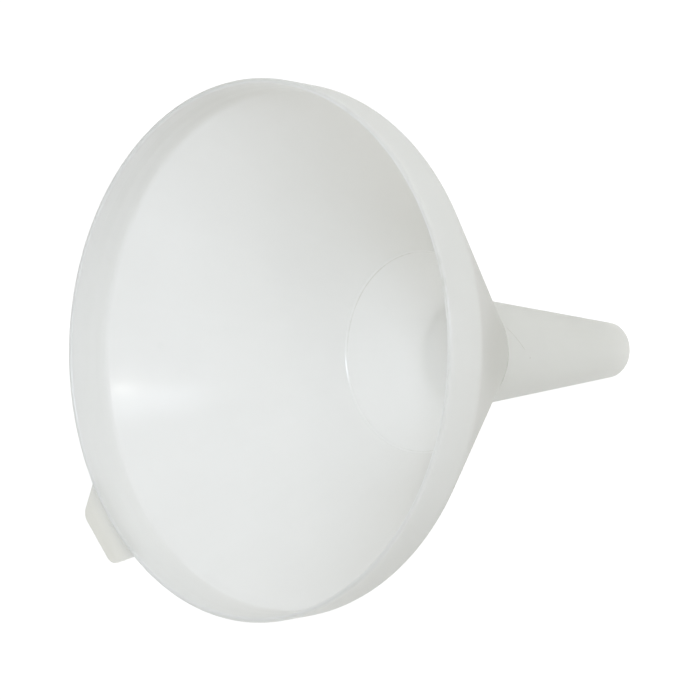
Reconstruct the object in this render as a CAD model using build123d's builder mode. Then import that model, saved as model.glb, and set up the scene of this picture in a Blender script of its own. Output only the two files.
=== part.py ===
from build123d import *

import os
from math import atan2, cos, radians, tan

# Wide-mouthed plastic funnel: collar, cone, tapered stem and rim tab. It stands mouth up. The
# origin is the centre of the stem's outlet, +Z runs up the funnel's axis to the mouth, and the
# rim tab points along +X. All sizes are in millimetres. The four parts are the regions of one
# moulding, and they meet face to face.

# Driving dimensions. Radii are those of the outer surface.
mouth_radius = 60.0
collar_foot_radius = 59.6
collar_depth = 10.4
throat_radius = 13.8
cone_depth = 65.6
outlet_radius = 7.3
stem_length = 59.0
wall = 1.2
lip_round = 0.3
outlet_round = 0.25

tab_reach = 7.1
tab_end_width = 15.0
tab_side_angle = 23.0
tab_corner_radius = 3.0
tab_thickness = 1.3
tab_drop = 0.3
tab_edge_round = 0.3

# Heights above the outlet.
crease_z = stem_length
collar_foot_z = crease_z + cone_depth
mouth_z = collar_foot_z + collar_depth

# The cone's wall is measured square to its slope, so a level cut through it is wider. The collar
# and the stem thicken to that width where they meet the cone, as moulding draft does.
cone_slope = atan2(collar_foot_radius - throat_radius, cone_depth)
cone_level_wall = wall / cos(cone_slope)

mouth_bore = mouth_radius - wall
collar_foot_bore = collar_foot_radius - cone_level_wall
throat_bore = throat_radius - cone_level_wall
outlet_bore = outlet_radius - wall

os.makedirs("parts", exist_ok=True)

# Collar: the short upright band round the mouth, with a softened lip.
with BuildPart() as collar:
    with BuildSketch(Plane.XZ):
        with BuildLine():
            Polyline(
                (mouth_radius, mouth_z),
                (collar_foot_radius, collar_foot_z),
                (collar_foot_bore, collar_foot_z),
                (mouth_bore, mouth_z),
                close=True,
            )
        make_face()
    revolve(axis=Axis.Z)
    fillet(collar.edges().group_by(Axis.Z)[-1], lip_round)
collar.part.label = "collar"
export_step(collar.part, "parts/collar.step")

# Cone: the straight-sided bowl between the collar and the stem.
with BuildPart() as cone:
    with BuildSketch(Plane.XZ):
        with BuildLine():
            Polyline(
                (collar_foot_radius, collar_foot_z),
                (throat_radius, crease_z),
                (throat_bore, crease_z),
                (collar_foot_bore, collar_foot_z),
                close=True,
            )
        make_face()
    revolve(axis=Axis.Z)
cone.part.label = "cone"
export_step(cone.part, "parts/cone.step")

# Stem: the long tapered spout, cut square at the outlet.
with BuildPart() as stem:
    with BuildSketch(Plane.XZ):
        with BuildLine():
            Polyline(
                (throat_radius, crease_z),
                (outlet_radius, 0),
                (outlet_bore, 0),
                (throat_bore, crease_z),
                close=True,
            )
        make_face()
    revolve(axis=Axis.Z)
    fillet(stem.edges().group_by(Axis.Z)[0], outlet_round)
stem.part.label = "stem"
export_step(stem.part, "parts/stem.step")

# Rim tab: a flat finger grip standing out level just below the lip. It narrows outwards and has
# rounded corners. Its outline starts inside the collar, whose outer shape is then cut from it.
tab_bottom_z = mouth_z - tab_drop - tab_thickness
tab_start = mouth_radius - 2 * wall
tab_end = mouth_radius + tab_reach
tab_end_half = tab_end_width / 2
tab_start_half = tab_end_half + (tab_end - tab_start) * tan(radians(tab_side_angle))
with BuildPart() as rim_tab:
    with BuildSketch(Plane.XY.offset(tab_bottom_z)) as tab_outline:
        with BuildLine():
            Polyline(
                (tab_start, -tab_start_half),
                (tab_end, -tab_end_half),
                (tab_end, tab_end_half),
                (tab_start, tab_start_half),
                close=True,
            )
        make_face()
        fillet(tab_outline.vertices().group_by(Axis.X)[-1], tab_corner_radius)
    extrude(amount=tab_thickness)
    fillet(rim_tab.edges().filter_by(Axis.Z, reverse=True).group_by(Axis.X)[1:], tab_edge_round)
    with Locations((0, 0, collar_foot_z)):
        Cone(
            bottom_radius=collar_foot_radius,
            top_radius=mouth_radius,
            height=collar_depth,
            align=(Align.CENTER, Align.CENTER, Align.MIN),
            mode=Mode.SUBTRACT,
        )
rim_tab.part.label = "rim_tab"
export_step(rim_tab.part, "parts/rim_tab.step")
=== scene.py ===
import math

import bmesh
import bpy
from mathutils import Matrix, Vector


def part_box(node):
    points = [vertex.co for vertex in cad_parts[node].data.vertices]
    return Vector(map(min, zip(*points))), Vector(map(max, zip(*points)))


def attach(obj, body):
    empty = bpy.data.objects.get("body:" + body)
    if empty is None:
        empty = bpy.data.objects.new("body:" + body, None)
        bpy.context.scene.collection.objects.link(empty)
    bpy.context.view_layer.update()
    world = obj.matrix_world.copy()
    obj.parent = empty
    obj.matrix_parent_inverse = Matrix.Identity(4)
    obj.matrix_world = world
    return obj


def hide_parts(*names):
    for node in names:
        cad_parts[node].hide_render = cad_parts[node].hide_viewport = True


# A funnel in milky plastic: collar, cone, stem and finger tab. It stands mouth up, as the CAD
# model does, and the camera lies on its side to see it as the photograph does.

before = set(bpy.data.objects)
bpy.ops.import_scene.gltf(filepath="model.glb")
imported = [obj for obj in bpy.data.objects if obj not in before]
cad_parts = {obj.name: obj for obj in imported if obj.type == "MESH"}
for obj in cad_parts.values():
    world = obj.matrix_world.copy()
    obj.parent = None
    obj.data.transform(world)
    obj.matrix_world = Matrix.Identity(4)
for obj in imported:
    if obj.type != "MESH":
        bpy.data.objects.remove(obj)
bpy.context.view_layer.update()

# Sizes in metres, in the frame of the CAD model: the axis is Z, and the outlet is at z = 0.
MM = 0.001

# Points and heights closer than this count as one.
SAME = 1e-7

collar_low, collar_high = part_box("collar")
stem_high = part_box("stem")[1]
tab_low, tab_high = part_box("rim_tab")

MOUTH_Z = collar_high.z
FOOT_Z = collar_low.z
CREASE_Z = stem_high.z
MOUTH_RADIUS = collar_high.y
FOOT_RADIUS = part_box("cone")[1].y
THROAT_RADIUS = stem_high.y

# The CAD model's own values, which the boxes don't give.
OUTLET_RADIUS = 7.3 * MM
WALL = 1.2 * MM
CONE_SLOPE = math.atan2(FOOT_RADIUS - THROAT_RADIUS, FOOT_Z - CREASE_Z)
CONE_LEVEL_WALL = WALL / math.cos(CONE_SLOPE)

# Roundings of the wall, softer than the CAD model's.
LIP_ROUND = 0.58 * MM
FOOT_OUTER_ROUND = 5.0 * MM
FOOT_INNER_ROUND = 3.0 * MM
CREASE_ROUND = 0.4 * MM
THROAT_ROUND = 16.0 * MM
OUTLET_ROUND = 0.35 * MM

TURN_STEPS = 288
ARC_STEPS = 8
SHARP_BEND = math.radians(30)


# ---------------------------------------------------------------- profiles

def rounded(points, radii):
    """The polyline through points, with each inner corner turned into an arc of its radius."""
    line = [Vector(points[0])]
    for before, corner, after, radius in zip(points, points[1:], points[2:], radii):
        corner = Vector(corner)
        back = (Vector(before) - corner).normalized()
        on = (Vector(after) - corner).normalized()
        half = back.angle(on) / 2
        centre = corner + (back + on).normalized() * radius / math.sin(half)
        start = corner + back * radius / math.tan(half)
        sweep = (math.pi - 2 * half) * (1 if back.cross(on) < 0 else -1)
        for k in range(ARC_STEPS + 1):
            line.append(centre + Matrix.Rotation(sweep * k / ARC_STEPS, 2) @ (start - centre))
    line.append(Vector(points[-1]))
    return line


def between(line, high, low):
    """The part of a falling line between two heights, with a point exactly at each."""
    cut = [line[0]]
    for a, b in zip(line, line[1:]):
        for z in (high, low):
            if a.y > z > b.y:
                cut.append(a.lerp(b, (a.y - z) / (a.y - b.y)))
        cut.append(b)
    return [p for p in cut if low - SAME < p.y < high + SAME]


def at_height(line, z):
    """The point of a falling line at a height."""
    for a, b in zip(line, line[1:]):
        if a.y >= z > b.y:
            return a.lerp(b, (a.y - z) / (a.y - b.y))


def scored(line, z, width, outwards):
    """The line with a fine turned mark at a height, its middle moved away from the axis."""
    top = z + width / 2
    bottom = z - width / 2
    middle = at_height(line, z) + Vector((outwards, 0))
    upper = [p for p in line if p.y > top]
    lower = [p for p in line if p.y < bottom]
    return upper + [at_height(line, top), middle, at_height(line, bottom)] + lower


# Points are (radius, height), from the middle of the lip down to the middle of the outlet's edge.
outer_line = rounded(
    [
        (MOUTH_RADIUS - WALL / 2, MOUTH_Z),
        (MOUTH_RADIUS, MOUTH_Z),
        (FOOT_RADIUS, FOOT_Z),
        (THROAT_RADIUS, CREASE_Z),
        (OUTLET_RADIUS, 0),
        (OUTLET_RADIUS - WALL / 2, 0),
    ],
    [LIP_ROUND, FOOT_OUTER_ROUND, CREASE_ROUND, OUTLET_ROUND],
)
inner_line = rounded(
    [
        (MOUTH_RADIUS - WALL / 2, MOUTH_Z),
        (MOUTH_RADIUS - WALL, MOUTH_Z),
        (FOOT_RADIUS - CONE_LEVEL_WALL, FOOT_Z),
        (THROAT_RADIUS - CONE_LEVEL_WALL, CREASE_Z),
        (OUTLET_RADIUS - WALL, 0),
        (OUTLET_RADIUS - WALL / 2, 0),
    ],
    [LIP_ROUND, FOOT_INNER_ROUND, THROAT_ROUND, OUTLET_ROUND],
)

# The sharp line where the stem meets the cone.
CREASE_LINE_Z = CREASE_Z - 0.1 * MM
outer_line = scored(outer_line, CREASE_LINE_Z, width=0.5 * MM, outwards=-0.28 * MM)

# The ring that the mould's core is taken to leave inside the cone: a groove over a low ridge.
CORE_RING_Z = 75.9 * MM
inner_line = scored(inner_line, CORE_RING_Z + 0.3 * MM, width=0.45 * MM, outwards=0.13 * MM)
inner_line = scored(inner_line, CORE_RING_Z - 0.4 * MM, width=0.5 * MM, outwards=-0.07 * MM)

# Fine turned lines inside the collar, as (depth below the mouth, outwards) in millimetres.
for depth, outwards in ((3.1, -0.014), (5.5, 0.014), (7.3, -0.014), (8.8, 0.014)):
    inner_line = scored(inner_line, MOUTH_Z - depth * MM, 0.4 * MM, outwards * MM)


# ---------------------------------------------------------------- departures from round

# Small departures from the turned shape, set so that the outline falls on the photograph's. The
# mouth is squeezed across the tab and reaches further on the tab's side, the crease sits off the
# axis, and the stem has a slight waist. A real moulding can be out of true like this, but a lens
# or a camera a little unlike the real one would look the same.
SQUEEZE = 0.006
REACH = 0.0075
CREASE_SHIFT = 0.50 * MM
CREASE_SHIFT_AZIMUTH = math.radians(48)
WAIST = 0.22 * MM
WAIST_FULL_Z = 22 * MM
WAIST_END_Z = 90 * MM


def around(radius, turn, z):
    """The point at a radius, an angle in radians from the tab, and a height."""
    return Vector((radius * math.cos(turn), radius * math.sin(turn), z))


def ease(value, low, high):
    """0 up to low, 1 from high on, and smooth between."""
    t = min(max((value - low) / (high - low), 0), 1)
    return t * t * (3 - 2 * t)


def warped(co):
    """Where a point of the turned shape goes."""
    turn = math.atan2(co.y, co.x)
    oval = REACH * ((1 + math.cos(turn)) / 2) ** 3 - SQUEEZE * math.sin(turn) ** 2
    grown = 1 + oval * ease(co.z, CREASE_Z, FOOT_Z)
    slimmed = ease(co.z, 0, WAIST_FULL_Z) * (1 - ease(co.z, CREASE_Z, WAIST_END_Z))
    grown -= WAIST * slimmed / co.xy.length
    if co.z < CREASE_Z:
        shift = CREASE_SHIFT * co.z / CREASE_Z
    else:
        shift = CREASE_SHIFT * (1 - ease(co.z, CREASE_Z, FOOT_Z))
    return Vector((co.x * grown, co.y * grown, co.z)) + around(shift, CREASE_SHIFT_AZIMUTH, 0)


def on_wall(line, azimuth, z):
    """The point of the moulding's surface at an azimuth in degrees and a height."""
    return warped(around(at_height(line, z).x, math.radians(azimuth), z))


# ---------------------------------------------------------------- meshes

# Material slots of every piece.
OUTSIDE, JOINT, INSIDE = 0, 1, 2


def new_object(name, bm, *materials):
    """An object in the scene with the mesh built in bm."""
    mesh = bpy.data.meshes.new(name)
    bm.to_mesh(mesh)
    bm.free()
    for material in materials:
        mesh.materials.append(material)
    made = bpy.data.objects.new(name, mesh)
    bpy.context.collection.objects.link(made)
    return made


def finish_piece(name, bm, outside, *nodes):
    """A piece of the funnel, shown in place of the CAD model's nodes."""
    bmesh.ops.recalc_face_normals(bm, faces=bm.faces)
    piece = new_object(name, bm, outside, joint_clear, lit_inside_plastic)
    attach(piece, "root")
    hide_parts(*nodes)


def lathe(loop, inner, joints):
    """A closed loop of (radius, height) points turned round the Z axis.

    Faces between points of inner get the inside's material, and level faces at the heights in
    joints get the joint's.
    """
    inner = {tuple(p) for p in inner}
    bm = bmesh.new()
    rings = []
    for step in range(TURN_STEPS):
        turn = 2 * math.pi * step / TURN_STEPS
        rings.append([bm.verts.new(warped(around(p.x, turn, p.y))) for p in loop])
    for ring, following in zip(rings, rings[1:] + rings[:1]):
        for i in range(len(loop)):
            j = (i + 1) % len(loop)
            face = bm.faces.new((ring[i], ring[j], following[j], following[i]))
            face.smooth = True
            if any(max(abs(loop[i].y - z), abs(loop[j].y - z)) < SAME for z in joints):
                face.material_index = JOINT
            elif tuple(loop[i]) in inner and tuple(loop[j]) in inner:
                face.material_index = INSIDE
    for i, p in enumerate(loop):
        bend = (loop[(i + 1) % len(loop)] - p).angle(p - loop[i - 1])
        if bend > SHARP_BEND:
            for ring, following in zip(rings, rings[1:] + rings[:1]):
                bm.edges.get((ring[i], following[i])).smooth = False
    return bm


def wall_ring(high, low):
    """The funnel's wall between two heights."""
    outer = between(outer_line, high, low)
    inner = between(inner_line, high, low)
    loop = outer + inner[::-1]
    loop = [p for p, before in zip(loop, loop[-1:] + loop[:-1]) if (p - before).length > SAME]
    return lathe(loop, inner, {high, low} & {FOOT_Z, CREASE_Z})


TAB_END_HALF = 7.5 * MM
TAB_SIDE_SLOPE = math.tan(math.radians(23))
TAB_CORNER = 3.0 * MM
TAB_EDGE = 0.35 * MM
TAB_EDGE_STEPS = 4
TAB_ROOT_STEPS = 24


def tab_outline():
    """The finger tab from above: narrowing outwards, round-cornered, its root on the collar."""
    end = tab_high.x
    root_radius = at_height(outer_line, (tab_low.z + tab_high.z) / 2).x
    root_half = TAB_END_HALF + (end - root_radius) * TAB_SIDE_SLOPE
    # The collar curves away from the tab's sides, so they run on a little further to meet it.
    root_half += (root_radius - math.sqrt(root_radius**2 - root_half**2)) * TAB_SIDE_SLOPE
    half_turn = math.asin(root_half / root_radius)
    root = []
    for step in range(TAB_ROOT_STEPS + 1):
        turn = half_turn * (1 - 2 * step / TAB_ROOT_STEPS)
        root.append(warped(around(root_radius, turn, MOUTH_Z)).xy)
    side = rounded(
        [root[-1], (end, -TAB_END_HALF), (end, TAB_END_HALF), root[0]], [TAB_CORNER, TAB_CORNER]
    )
    return root + side[1:-1]


def at_root(verts):
    """Whether all the vertices lie where the tab meets the collar."""
    return all(v.co.xy.length < MOUTH_RADIUS * (1 + REACH) for v in verts)


def level_edge(edge):
    return abs(edge.verts[0].co.z - edge.verts[1].co.z) < SAME


def tab_mesh():
    """The finger tab, with its edges rounded everywhere but at the root."""
    bm = bmesh.new()
    face = bm.faces.new([bm.verts.new((p.x, p.y, tab_low.z)) for p in tab_outline()])
    lifted = bmesh.ops.extrude_face_region(bm, geom=[face])["geom"]
    lifted = [v for v in lifted if isinstance(v, bmesh.types.BMVert)]
    bmesh.ops.translate(bm, vec=(0, 0, tab_high.z - tab_low.z), verts=lifted)
    rims = [e for e in bm.edges if level_edge(e) and not at_root(e.verts)]
    bmesh.ops.bevel(
        bm, geom=rims, offset=TAB_EDGE, segments=TAB_EDGE_STEPS, profile=0.5, affect="EDGES"
    )
    for face in bm.faces:
        face.smooth = True
        if at_root(face.verts):
            face.material_index = JOINT
    return bm


# ---------------------------------------------------------------- materials

class Tree:
    """Short ways to build a material's nodes."""

    def __init__(self, name):
        self.material = bpy.data.materials.new(name)
        self.material.use_nodes = True
        self.nodes = self.material.node_tree.nodes
        self.nodes.clear()

    def add(self, kind, inputs=(), **settings):
        """A node of a kind. An input is another node's socket or a plain value."""
        made = self.nodes.new("ShaderNode" + kind)
        for key, value in settings.items():
            setattr(made, key, value)
        for key, value in dict(inputs).items():
            if isinstance(value, bpy.types.NodeSocket):
                self.material.node_tree.links.new(value, made.inputs[key])
            else:
                made.inputs[key].default_value = value
        return made

    def surface(self, shader):
        """The finished material, with a shader node as its surface."""
        self.add("OutputMaterial", {"Surface": shader.outputs[0]})
        return self.material

    def math(self, operation, *values):
        return self.add("Math", dict(enumerate(values)), operation=operation).outputs[0]

    def total(self, *parts):
        """The weighted sum of (value, weight) pairs."""
        added = self.math("MULTIPLY", *parts[0])
        for value, weight in parts[1:]:
            added = self.math("ADD", added, self.math("MULTIPLY", value, weight))
        return added

    def noise(self, vector, scale, detail=2.0):
        inputs = {"Vector": vector, "Scale": scale, "Detail": detail}
        return self.add("TexNoise", inputs).outputs["Fac"]

    def ramp(self, value, stops):
        """A colour that follows the value through (position, colour) stops."""
        made = self.add("ValToRGB", {"Fac": value})
        while len(made.color_ramp.elements) < len(stops):
            made.color_ramp.elements.new(0.5)
        for element, (at, colour) in zip(made.color_ramp.elements, stops):
            element.position = at
            element.color = (*colour, 1)
        return made.outputs["Color"]

    def spread(self, value, low, high, to_low, to_high):
        """to_low up to low, to_high from high on, and smooth between."""
        inputs = {0: value, 1: low, 2: high, 3: to_low, 4: to_high}
        return self.add("MapRange", inputs, interpolation_type="SMOOTHSTEP").outputs[0]

    def near_height(self, height, z, reach):
        """1 at a height, falling to 0 at reach above and below it."""
        away = self.math("ABSOLUTE", self.math("SUBTRACT", height, z))
        return self.spread(away, 0, reach, 1, 0)

    def near_point(self, place, point, inside, outside):
        """1 within one distance of a point, falling to 0 at another."""
        away = self.add("VectorMath", {0: place, 1: point}, operation="DISTANCE").outputs["Value"]
        return self.spread(away, inside, outside, 1, 0)

    def near_line(self, place, a, b, reach):
        """1 on the line between two points of the stem's surface, 0 at reach from it.

        It fades out near both points.
        """
        middle = (a + b) / 2
        half = (b - a).length / 2
        across = (b - a).cross(Vector((middle.x, middle.y, 0))).normalized()
        along = self.add("VectorMath", {0: place, 1: across}, operation="DOT_PRODUCT").outputs["Value"]
        away = self.math("ABSOLUTE", self.math("SUBTRACT", along, middle.dot(across)))
        beside = self.spread(away, 0, reach, 1, 0)
        return self.math("MULTIPLY", beside, self.near_point(place, middle, half * 0.7, half * 1.1))


# The darkest tones, which the painted shade and the marks run towards.
DEEP_SKIN = (0.66, 0.66, 0.62)
DEEP_GLOW = (0.66, 0.66, 0.60)

# Noise scales: of the flow lines by angle and by height, and of the rest by distance. The flow
# lines run up the wall, so their noise is narrow round the axis and wide in height.
FLOW_ROUND = 16.0
FLOW_UP = 14.0
CLOUDS = 30.0
MOTTLE = 210.0
GRAIN = 1500.0

GRAIN_HEIGHT = 0.02 * MM
SMOOTHEST = 0.285
ROUGHEST = 0.33
COAT_ROUGHNESS = 0.16


def milky_plastic(name, deepen, gloss, glow_share, skin, glow):
    """Milky plastic: satin skin, light through the wall, faint clouds and flow lines.

    deepen(tree, place, height, mottle) says how far each place is deeper in tone, both painted shade
    and marks. skin and glow each hold the two colours that the clouds run between, off the surface and
    through the wall.
    """
    tree = Tree(name)
    place = tree.add("TexCoord").outputs["Object"]
    split = tree.add("SeparateXYZ", {0: place}).outputs
    height = split["Z"]
    turn = tree.math("ARCTAN2", split["Y"], split["X"])

    flow_round = tree.math("MULTIPLY", turn, FLOW_ROUND)
    flow_up = tree.math("MULTIPLY", height, FLOW_UP)
    flow_place = tree.add("CombineXYZ", {"X": flow_round, "Y": flow_up}).outputs[0]
    flow = tree.noise(flow_place, 1.0, detail=1.0)
    clouds = tree.noise(place, CLOUDS)
    mottle = tree.noise(place, MOTTLE, detail=3.0)
    grain = tree.noise(place, GRAIN)

    tone = tree.total((clouds, 0.65), (flow, 0.15), (mottle, 0.2))
    # Painted shade and marks take the tone down towards the darkest tones.
    tone = tree.math("SUBTRACT", tone, deepen(tree, place, height, mottle))
    skin_colour = tree.ramp(tone, ((0, DEEP_SKIN), (0.2, skin[0]), (0.7, skin[1])))
    glow_colour = tree.ramp(tone, ((0, DEEP_GLOW), (0.2, glow[0]), (0.7, glow[1])))
    fine = tree.add("Bump", {"Strength": 0.25, "Distance": GRAIN_HEIGHT, "Height": grain})
    normal = fine.outputs[0]

    satin = tree.add(
        "BsdfPrincipled",
        {
            "Base Color": skin_colour,
            "Roughness": tree.spread(clouds, 0.3, 0.7, SMOOTHEST, ROUGHEST),
            "Normal": normal,
            "Coat Weight": gloss,
            "Coat Roughness": COAT_ROUGHNESS,
        },
    )
    through = tree.add("BsdfTranslucent", {"Color": glow_colour, "Normal": normal})
    return tree.surface(
        tree.add("MixShader", {0: glow_share, 1: satin.outputs[0], 2: through.outputs[0]})
    )


# Marks of the photograph, at the azimuth in degrees and the height where they fall on the model.
STEM_SPECK = on_wall(outer_line, 131, 49 * MM)
STEM_SCRATCH = (on_wall(outer_line, 166.6, 58.4 * MM), on_wall(outer_line, 138, 51 * MM))
BOWL_SCUFF = on_wall(inner_line, -43, 113.7 * MM)
THROAT_SPECK = on_wall(inner_line, -56, 60.5 * MM)

# The painted shade at the lip reaches this far; the painted shade down the stem's bore fades out
# between these heights.
LIP_REACH = 0.9 * MM
BORE_LOW_Z = 50 * MM
BORE_HIGH_Z = 65 * MM


def shade_and_marks_outside(tree, place, height, mottle):
    """Painted shade at the lip, at the thick foot of the collar and in the crease, and deeper in the
    stem's marks.
    """
    # The lip, the collar's foot and the crease are darkened as painted shade; the speck and the
    # scratch are marks.
    lip = tree.near_height(height, MOUTH_Z, LIP_REACH)
    foot = tree.near_height(height, FOOT_Z, reach=1.6 * MM)
    crease = tree.near_height(height, CREASE_LINE_Z, reach=0.45 * MM)
    speck = tree.near_point(place, STEM_SPECK, inside=0.1 * MM, outside=0.45 * MM)
    scratch = tree.near_line(place, *STEM_SCRATCH, reach=0.22 * MM)
    return tree.total((lip, 0.20), (foot, 0.03), (crease, 0.55), (speck, 0.4), (scratch, 0.45))


def shade_and_marks_inside(tree, place, height, mottle):
    """Painted shade at the lip, on the core's ring and down the stem's bore, and deeper in the bowl's
    marks.
    """
    # The lip and the bore are darkened as painted shade. The core's ring is a real groove, and its
    # darker tone is painted shade. The scuff and the speck are marks.
    lip = tree.near_height(height, MOUTH_Z, LIP_REACH)
    ring = tree.near_height(height, CORE_RING_Z - 0.1 * MM, reach=0.4 * MM)
    bore = tree.spread(height, BORE_LOW_Z, BORE_HIGH_Z, 1, 0)
    scuff = tree.near_point(place, BOWL_SCUFF, inside=0.3 * MM, outside=1.3 * MM)
    scuff = tree.math("MULTIPLY", scuff, tree.spread(mottle, 0.4, 0.6, 0, 1))
    speck = tree.near_point(place, THROAT_SPECK, inside=0.2 * MM, outside=0.5 * MM)
    return tree.total((lip, 0.15), (ring, 0.38), (bore, 0.13), (scuff, 0.4), (speck, 0.25))


def shade_tab_underside(tree, place, height, mottle):
    """Painted shade: a little deeper towards the tab's lower face."""
    return tree.spread(height, tab_low.z, tab_high.z, 0.05, 0)


def clear_joint():
    """For the faces inside the moulding where its regions meet: light passes straight on."""
    tree = Tree("joint_clear")
    return tree.surface(tree.add("BsdfTransparent"))


# One plastic in three settings, each with the tones that the photograph shows there. The inside's
# tones are lighter and cooler: painted light. The outside's are darker and warmer: painted shade. The
# tab's are lighter and warmer: painted light.
joint_clear = clear_joint()
shaded_outside_plastic = milky_plastic(
    "milky_plastic_outside_shaded",
    shade_and_marks_outside,
    gloss=0.08,
    glow_share=0.68,
    skin=((0.775, 0.774, 0.740), (0.797, 0.796, 0.762)),
    glow=((0.858, 0.858, 0.834), (0.880, 0.880, 0.858)),
)
lit_inside_plastic = milky_plastic(
    "milky_plastic_inside_lit",
    shade_and_marks_inside,
    gloss=0.60,
    glow_share=0.68,
    skin=((0.850, 0.858, 0.858), (0.872, 0.880, 0.882)),
    glow=((0.860, 0.860, 0.838), (0.882, 0.882, 0.862)),
)
lit_tab_plastic = milky_plastic(
    "milky_plastic_tab_lit",
    shade_tab_underside,
    gloss=0.15,
    glow_share=0.55,
    skin=((0.865, 0.860, 0.818), (0.885, 0.880, 0.838)),
    glow=((0.875, 0.870, 0.828), (0.895, 0.890, 0.848)),
)


# ---------------------------------------------------------------- pieces

finish_piece("collar_wall", wall_ring(MOUTH_Z, FOOT_Z), shaded_outside_plastic, "collar")
finish_piece("cone_wall", wall_ring(FOOT_Z, CREASE_Z), shaded_outside_plastic, "cone")
finish_piece("stem_wall", wall_ring(CREASE_Z, 0), shaded_outside_plastic, "stem")
finish_piece("rim_tab_plate", tab_mesh(), lit_tab_plastic, "rim_tab")


# ---------------------------------------------------------------- stage

FLOOR_RADIUS = 4
DOME_RADIUS = 6
WHITE = (1, 1, 1, 1)
FLOOR_GREY = (0.15, 0.15, 0.15, 1)
FLOOR_GLOW = 0.967


def stage_floor():
    """A pale floor. Its own glow and the lamps' light make it white in the photograph's view."""
    bm = bmesh.new()
    bmesh.ops.create_circle(bm, cap_ends=True, segments=96, radius=FLOOR_RADIUS)
    tree = Tree("pale_floor")
    skin = tree.add(
        "BsdfPrincipled",
        {
            "Base Color": FLOOR_GREY,
            "Roughness": 0.9,
            "Specular IOR Level": 0,
            "Emission Color": WHITE,
            "Emission Strength": FLOOR_GLOW,
        },
    )
    floor = new_object("floor", bm, tree.surface(skin))


def backdrop():
    """A white dome behind the floor's edge. Only the camera sees it, so it casts no light."""
    bm = bmesh.new()
    bmesh.ops.create_icosphere(bm, subdivisions=4, radius=DOME_RADIUS)
    for face in bm.faces:
        face.smooth = True
    tree = Tree("backdrop_white")
    glow = tree.add("Emission", {"Color": WHITE, "Strength": 1.0})
    dome = new_object("backdrop", bm, tree.surface(glow))
    for sight in ("diffuse", "glossy", "transmission", "volume_scatter", "shadow"):
        setattr(dome, "visible_" + sight, False)


# The azimuth, in degrees, of the side that the camera stands on.
NEAR_AZIMUTH = 138.1
STAGE_CENTRE = Vector((0, 0, 0.09))
COOL = (0.82, 0.88, 1.0)
SKY = (0.86, 0.90, 1.0)
PALE = (1.0, 0.97, 0.90)
WARM = (1.0, 0.93, 0.75)
WORLD_STRENGTH = 0.235


def softbox(name, turn, elevation, width, power, colour, height=None):
    """A soft light 1 m from the funnel, turned from the side that the camera stands on."""
    light = bpy.data.lights.new(name, "AREA")
    light.shape = "RECTANGLE"
    light.size = width
    light.size_y = height or width
    light.energy = power
    light.color = colour
    lamp = bpy.data.objects.new(name, light)
    bpy.context.collection.objects.link(lamp)
    rise = math.radians(elevation)
    away = around(math.cos(rise), math.radians(NEAR_AZIMUTH + turn), math.sin(rise))
    lamp.location = STAGE_CENTRE + away
    lamp.rotation_mode = "QUATERNION"
    lamp.rotation_quaternion = away.to_track_quat("Z", "Y")
    lamp.visible_camera = False


def studio():
    """A key light, a band and a glint for the streak in the bowl, and fills from all sides."""
    softbox("key", turn=20, elevation=50, width=0.25, power=7.0, colour=COOL)
    softbox("band", turn=22, elevation=25, width=0.20, power=1.2, colour=SKY, height=0.30)
    softbox("glint", turn=15.5, elevation=28.5, width=0.05, power=0.45, colour=PALE)
    softbox("low_fill", turn=50, elevation=8, width=0.3, power=0.9, colour=PALE)
    softbox("fill", turn=-60, elevation=60, width=0.35, power=0.5, colour=COOL)
    softbox("back_left", turn=240, elevation=12, width=0.7, power=2.7, colour=SKY)
    softbox("back", turn=180, elevation=12, width=0.7, power=1.7, colour=SKY)
    softbox("back_right", turn=120, elevation=12, width=0.7, power=1.8, colour=SKY)
    softbox("side", turn=300, elevation=12, width=0.7, power=2.2, colour=SKY)
    world = bpy.data.worlds.new("studio")
    world.use_nodes = True
    background = world.node_tree.nodes["Background"]
    background.inputs["Color"].default_value = (*WARM, 1)
    background.inputs["Strength"].default_value = WORLD_STRENGTH
    bpy.context.scene.world = world
    bpy.context.scene.view_settings.view_transform = "Standard"


stage_floor()
backdrop()
studio()


# ---------------------------------------------------------------- camera

# Fitted to the photograph's outline. The tilt is between the view and the funnel's axis.
LENS = 112.0
CAMERA_NEAR = 0.3440
CAMERA_UP = 0.3355
TILT = math.radians(42.92)


def photo_camera():
    """A camera on the near side, above the mouth, rolled so that the stem points right."""
    up = Vector((0, 0, 1))
    near = around(1, math.radians(NEAR_AZIMUTH), 0)
    image_up = up.cross(near)
    back = up * math.cos(TILT) + near * math.sin(TILT)
    right = near * math.cos(TILT) - up * math.sin(TILT)
    lens = bpy.data.cameras.new("camera")
    lens.sensor_width = 36
    lens.lens = LENS
    lens.clip_start = 0.01
    lens.clip_end = 20
    camera = bpy.data.objects.new("camera", lens)
    bpy.context.collection.objects.link(camera)
    place = Vector((0, 0, MOUTH_Z)) + near * CAMERA_NEAR + up * CAMERA_UP
    turned = Matrix((right, image_up, back)).transposed().to_4x4()
    camera.matrix_world = Matrix.Translation(place) @ turned
    return camera


bpy.context.scene.camera = photo_camera()
